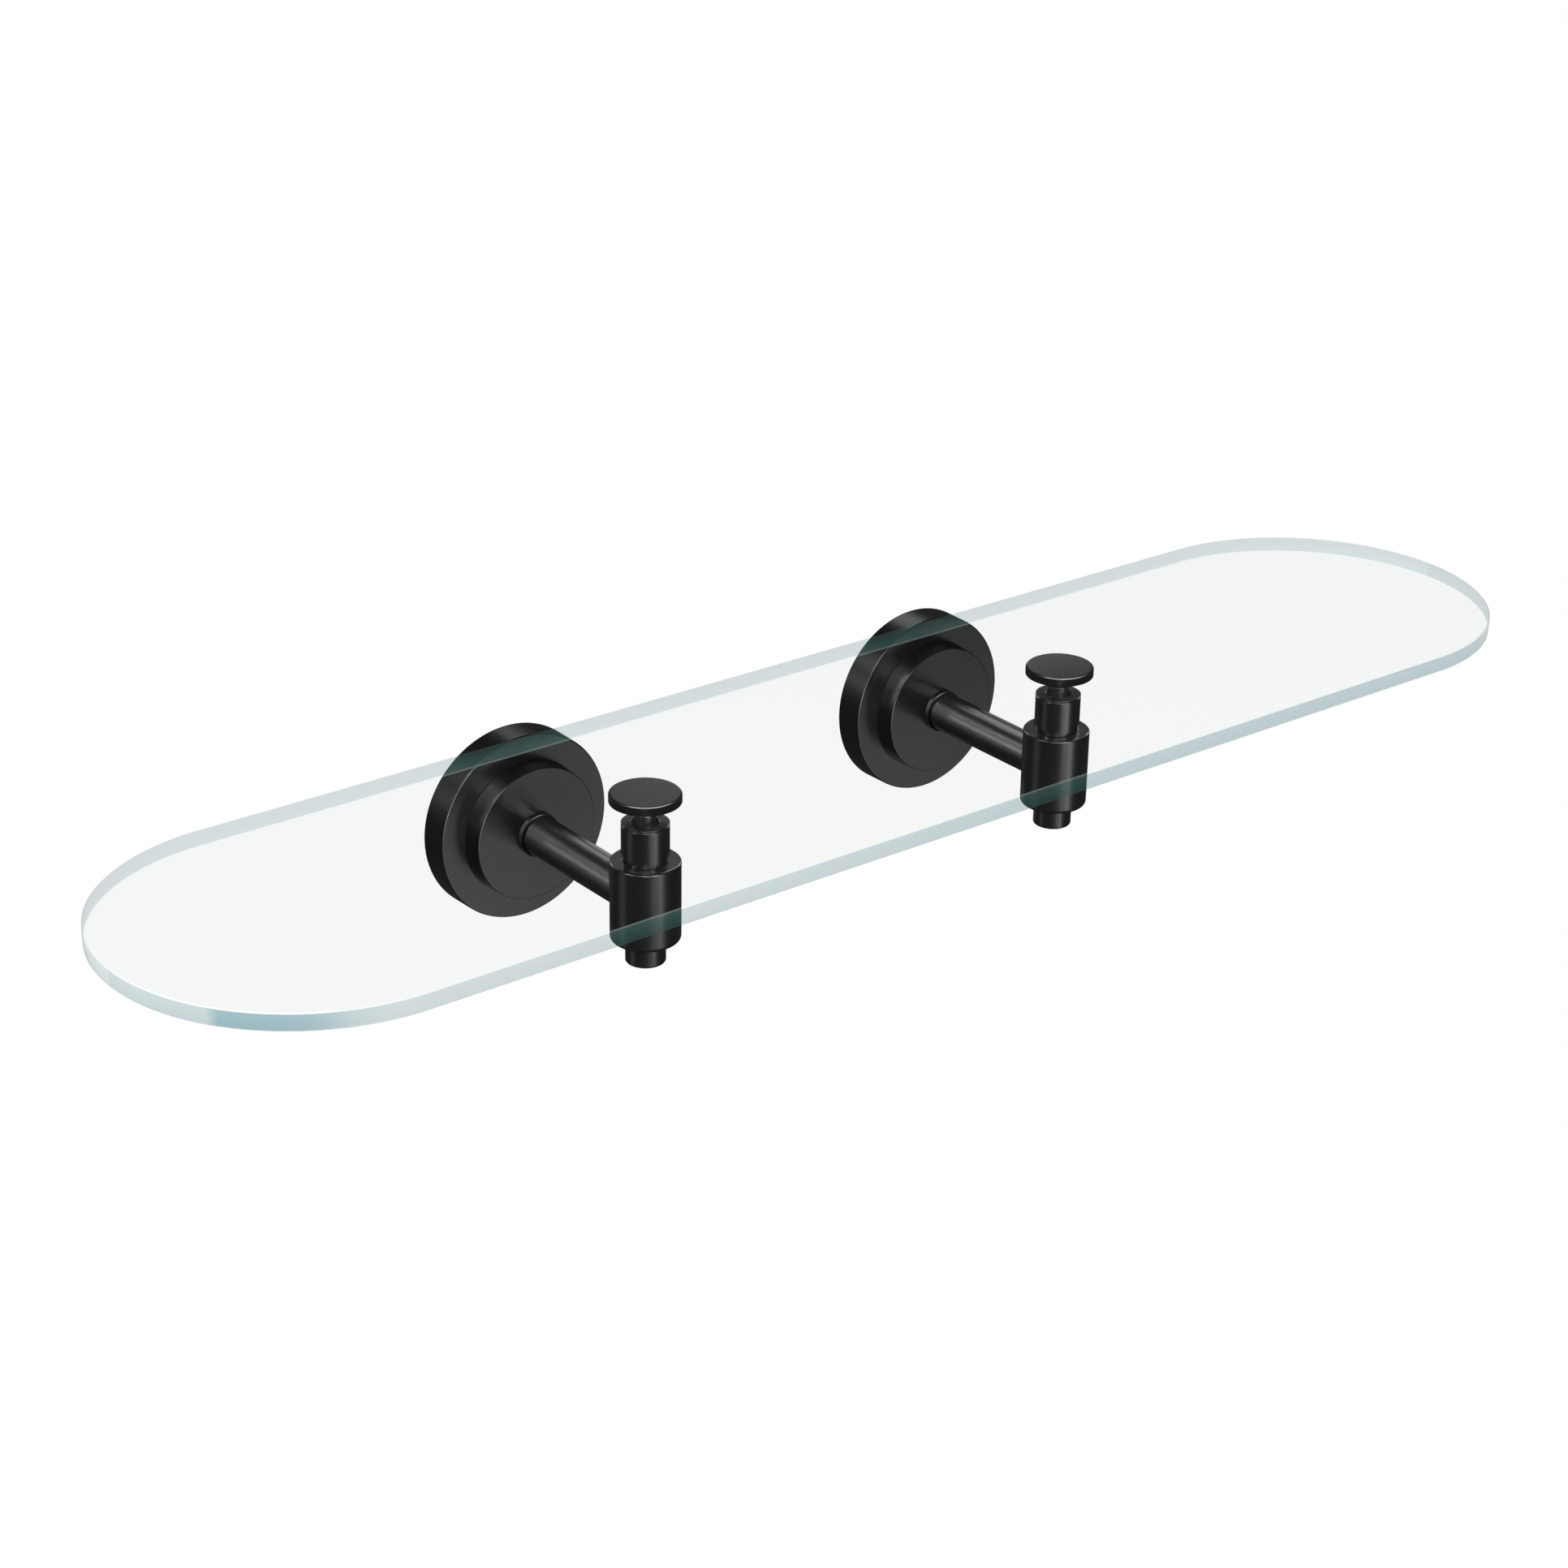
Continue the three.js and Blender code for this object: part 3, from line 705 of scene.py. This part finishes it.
def makeGlass():
    # The right half is one grid. Its columns follow the outline: the front side, the round end
    # (R cos t, R sin t), the back side, and the cut at x = 0. Its eight rows go round the section: the hole's
    # rim, the outline inset by the arris, the outline above and below, inset again, and back up through the
    # hole. The left half mirrors it.
    low, high = (np.array(corner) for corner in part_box("glass_shelf"))
    shape = glassShape
    arris, holeRadius = shape["arris"] * mm, shape["holeRadius"] * mm
    hole = np.array(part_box("right_post_body")).mean(axis=0)[:2]
    endRadius, middle = (high[1] - low[1]) / 2, (high[1] + low[1]) / 2
    endCentre = high[0] - endRadius
    turn = np.linspace(-np.pi / 2, np.pi / 2, shape["endSteps"] + 1)
    along = np.linspace(0, endCentre, shape["sideSteps"], endpoint=False)
    cut = np.linspace(high[1], low[1], shape["cutSteps"] + 1)[1:-1]
    level, still = np.ones_like(along), np.zeros_like(cut)
    outline = np.stack([
        np.concatenate([along, endCentre + endRadius * np.cos(turn), along[::-1], still]),
        np.concatenate([low[1] * level, middle + endRadius * np.sin(turn), high[1] * level, cut])], axis=1)
    outward = np.stack([
        np.concatenate([0 * level, np.cos(turn), 0 * level, still]),
        np.concatenate([-level, np.sin(turn), level, still])], axis=1)
    ray = (outline - hole) / np.linalg.norm(outline - hole, axis=1, keepdims=True)
    inset = outline - arris * outward
    narrow, wide = hole + holeRadius * ray, hole + (holeRadius + arris) * ray
    rows = [(wide, high[2]), (inset, high[2]), (outline, high[2] - arris), (outline, low[2] + arris),
            (inset, low[2]), (wide, low[2]), (narrow, low[2] + arris), (narrow, high[2] - arris)]
    half = np.concatenate([np.column_stack([plan, np.full(len(plan), height)]) for plan, height in rows])
    columns = len(outline)
    quads = gridFaces(len(rows), columns, True)
    row = np.arange(len(quads)) // columns
    onCut = ~outward.any(axis=1)
    onCut = np.tile(onCut | np.roll(onCut, -1), len(rows))
    keep = ~(onCut & (row >= 1) & (row <= 3))  # no wall stands on the cut between the two halves
    quads, row = quads[keep], row[keep]
    both = np.concatenate([half, half * [-1, 1, 1]]) + 0.0  # + 0.0 makes the cut's -0 a 0, so that it welds
    faces = np.concatenate([quads[:, ::-1], quads + len(half)])
    welded, index = np.unique(np.round(both[faces.ravel()], weldPlaces), axis=0, return_inverse=True)
    piece = buildMesh("glassShelf", welded, index.reshape(-1, 4))
    finishOfRow = np.array([0, 2, 1, 2, 0, 0, 0, 0])  # places in glassFinishes
    smoothRow = np.array([False, True, True, True, False, True, True, True])
    piece.data.polygons.foreach_set("material_index", np.tile(finishOfRow[row], 2).astype(np.int32))
    piece.data.polygons.foreach_set("use_smooth", np.tile(smoothRow[row], 2))
    for finish in glassFinishes:
        piece.data.materials.append(finish)
    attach(piece, "frame")
    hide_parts("glass_shelf")


makeGlass()
for side in sides:
    makeFlange(side)
    makeDisc(side)
    makeCollar(side)
    makeArm(side)
    makePost(side)
    makeRing(f"{side}_seat_washer", f"{side}SeatWasher", seatShape, "black_rubber")
    makeRing(f"{side}_glass_sleeve", f"{side}GlassSleeve", sleeveShape, "clear_plastic")
    makeRing(f"{side}_knob_washer", f"{side}KnobWasher", knobWasherShape, "clear_plastic", f"{side}_washer")
    makeKnob(side)
    for place in ("upper", "lower"):
        makeWallFixing(side, place)
    for kept in ("wall_plate", "arm_screw", "arm_lock_washer", "flange_set_screw"):
        node = frame["nodes"][f"{side}_{kept}"]
        node.data.materials.clear()
        node.data.materials.append(finishes["zinc_steel"])
print("pieces made")


# in millimetres
studio = {"drop": 1000, "radius": 6000, "cove": 2000, "height": 7000, "colour": (1, 1, 1, 1)}


def makeStudio():
    # a pale floor that curves up into a round wall and over
    finish = Finish("paleFloor")
    shader = finish.node("ShaderNodeEmission", {}, {"Color": studio["colour"], "Strength": 1.0})
    low, high = -studio["drop"], studio["height"] - studio["drop"]
    radius, cove = studio["radius"], studio["cove"]
    corners = [(0, low, 0), (radius, low, cove), (radius, high, cove), (0, high, 0)]
    floor = turnedPiece("studioFloor", corners, (0, 0, 0), closed=False)
    floor.data.materials.append(finish.done(shader))
    floor.data.flip_normals()
    floor.visible_glossy = False
    floor.visible_diffuse = False
    floor.visible_shadow = False


view = {"azimuth": -38.55, "elevation": 24.53, "roll": 0.95, "distance": 1.1337,
        "target": (-0.0249, -0.0700, 0.0201), "lens": 77.94, "sensor": 36.0, "near": 0.05, "far": 50}


def direction(azimuth, elevation):
    # to the camera or a lamp: azimuth 0 is the room's side, -Y, and turns towards +X, in degrees
    turn, rise = math.radians(azimuth), math.radians(elevation)
    return Vector((math.sin(turn) * math.cos(rise), -math.cos(turn) * math.cos(rise), math.sin(rise)))


def makeCamera():
    backward = direction(view["azimuth"], view["elevation"])
    level = Vector((0, 0, 1)).cross(backward).normalized()
    upright = backward.cross(level)
    roll = math.radians(view["roll"])
    right = math.cos(roll) * level + math.sin(roll) * upright
    up = -math.sin(roll) * level + math.cos(roll) * upright
    lensData = bpy.data.cameras.new("camera")
    lensData.lens, lensData.sensor_width = view["lens"], view["sensor"]
    lensData.clip_start, lensData.clip_end = view["near"], view["far"]
    camera = bpy.data.objects.new("camera", lensData)
    place = Vector(view["target"]) + backward * view["distance"]
    turned = Matrix((right, up, backward)).transposed().to_4x4()
    camera.matrix_world = Matrix.Translation(place) @ turned
    bpy.context.scene.collection.objects.link(camera)
    bpy.context.scene.camera = camera


# each soft lamp's azimuth, elevation and watts, by the group of pieces that it lights
lampStand = {"distance": 2.2, "size": 0.8, "centre": (0, -0.05, 0.01), "colour": (0.965, 1.0, 0.935)}
skyStrength = 0.05
lamps = {
    "glass": [(-115, 50, 30), (-60, 62, 25), (-38, 10, 36)],
    "arms": [(-122.2, 18, 22), (-129.8, 41.2, 20), (157.6, 57.3, 11), (140.4, 3.3, 2), (-114.5, -2.4, 10),
             (27.7, 30.6, 32), (7.7, 39.9, 32), (148, 34, 4.5)],
    "posts": [(-9.5, -8.1, 16), (125.1, 49.3, 14), (-37.2, 20, 34), (145.2, 38.7, 1.8), (10.6, -16, 6.5),
              (-4.7, 25.2, 33), (-89.7, 23.1, 25), (100.3, 19, 14), (-174.7, 21, 14), (-179.4, -12, 5),
              (-112, -22, 0.9)],
    "knobs": [(140.4, 3.3, 6), (145.2, 38.7, 1.0), (-85, 50, 32), (-55, 50, 38), (-20, 50, 44), (10, 48, 38),
              (45, 46, 26)],
    "flanges": [(30.7, -24.1, 1.1), (50.7, -32.8, 2.0), (18.3, -38.7, 5.4), (-9.5, -8.1, 31),
                (-24.8, 33.9, 31), (-129.8, 41.2, 9), (-122.2, 18, 5.8), (145.2, 38.7, 2.3)],
}
# how the names of each group's pieces end; every other piece is in the group of the posts
pieceWords = {
    "glass": ("glassShelf", "GlassSleeve", "KnobWasher"),
    "knobs": ("KnobHead",),
    "arms": ("Arm", "ArmCollar"),
    "flanges": ("Flange", "Disc", "WallPlug", "WallScrew", "_wall_plate", "_screw", "_lock_washer"),
}


def makeLights():
    # round lamps on a sphere about the object, each one facing its middle
    world = bpy.data.worlds.new("world")
    world.use_nodes = True
    sky = world.node_tree.nodes["Background"]
    sky.inputs["Color"].default_value = (*lampStand["colour"], 1)
    sky.inputs["Strength"].default_value = skyStrength
    bpy.context.scene.world = world
    receivers = {group: bpy.data.collections.new(group) for group in lamps}
    for piece in bpy.context.scene.objects:
        if piece.type == "MESH":
            stem = piece.name.replace("_upper", "").replace("_lower", "")
            groups = [group for group, words in pieceWords.items() if stem.endswith(words)]
            receivers[groups[0] if groups else "posts"].objects.link(piece)
    for group, places in lamps.items():
        for number, (azimuth, elevation, watts) in enumerate(places):
            backward = direction(azimuth, elevation)
            data = bpy.data.lights.new(f"{group}Lamp{number}", "AREA")
            data.shape, data.size, data.energy = "DISK", lampStand["size"], watts
            data.color = lampStand["colour"]
            lamp = bpy.data.objects.new(data.name, data)
            place = Vector(lampStand["centre"]) + backward * lampStand["distance"]
            turned = backward.to_track_quat("Z", "Y").to_matrix().to_4x4()
            lamp.matrix_world = Matrix.Translation(place) @ turned
            lamp.light_linking.receiver_collection = receivers[group]
            bpy.context.scene.collection.objects.link(lamp)


makeStudio()
makeCamera()
makeLights()
bpy.context.scene.view_settings.view_transform = "Standard"
bpy.context.scene.view_settings.look = "None"
print("studio made")
